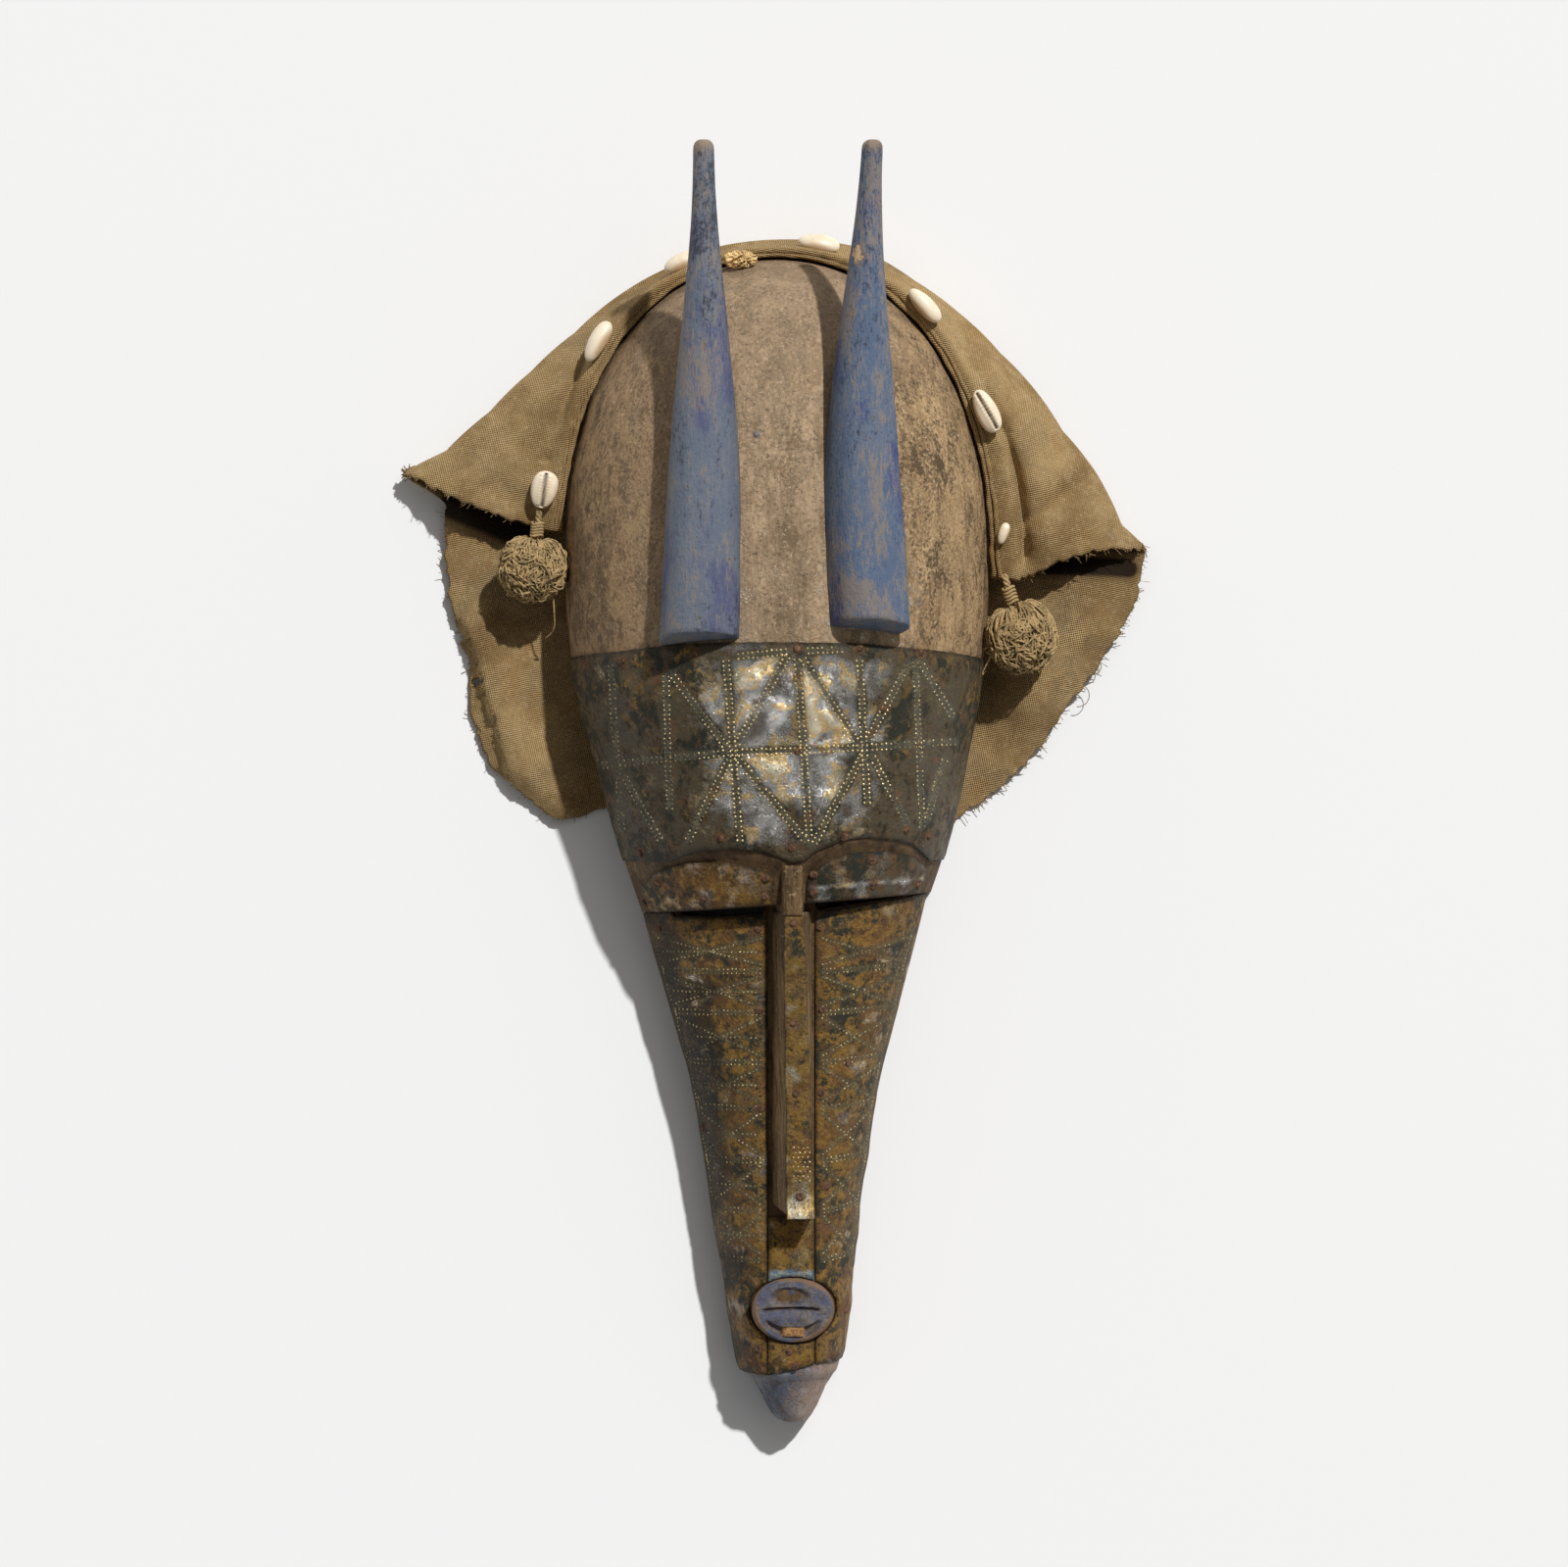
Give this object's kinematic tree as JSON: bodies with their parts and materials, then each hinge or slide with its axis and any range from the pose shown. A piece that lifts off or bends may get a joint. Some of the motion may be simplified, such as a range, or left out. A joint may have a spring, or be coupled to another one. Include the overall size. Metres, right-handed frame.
{
  "type": "carved mask",
  "caption": "Long carved wooden mask with straight horns, embossed sheet metal plates and a cloth hood with shells and yarn pompoms, lying on its back.",
  "frame": {"origin": "middle of the bounding box, on the plane that the mask lies on", "axes": "+X to the right of someone who faces the mask, +Y from the chin to the horn tips, +Z out through the nose"},
  "size_m": [0.3358, 0.565, 0.1236],
  "materials": {
    "wood": "weathered brown wood, with worn blue paint on the horns, mouth and chin",
    "sheet_brass": "dark, patinated and embossed sheet",
    "cloth": "coarse plain weave, worn and frayed",
    "shell": "polished shell",
    "yarn": "knotted yarn"
  },
  "bodies": {
    "root": {"wooden_mask": "wood", "forehead_plate": "sheet_brass", "left_cheek_plate": "sheet_brass", "right_cheek_plate": "sheet_brass", "left_eyelid_plate": "sheet_brass", "right_eyelid_plate": "sheet_brass", "nose_strip": "sheet_brass", "philtrum_strip": "sheet_brass", "chin_strip": "sheet_brass", "cloth_hood": "cloth", "cowrie_1": "shell", "cowrie_2": "shell", "cowrie_3": "shell", "cowrie_4": "shell", "cowrie_5": "shell", "cowrie_6": "shell", "cowrie_7": "shell", "left_pompom": "yarn", "right_pompom": "yarn", "top_tuft": "yarn"}
  },
  "joints": []
}
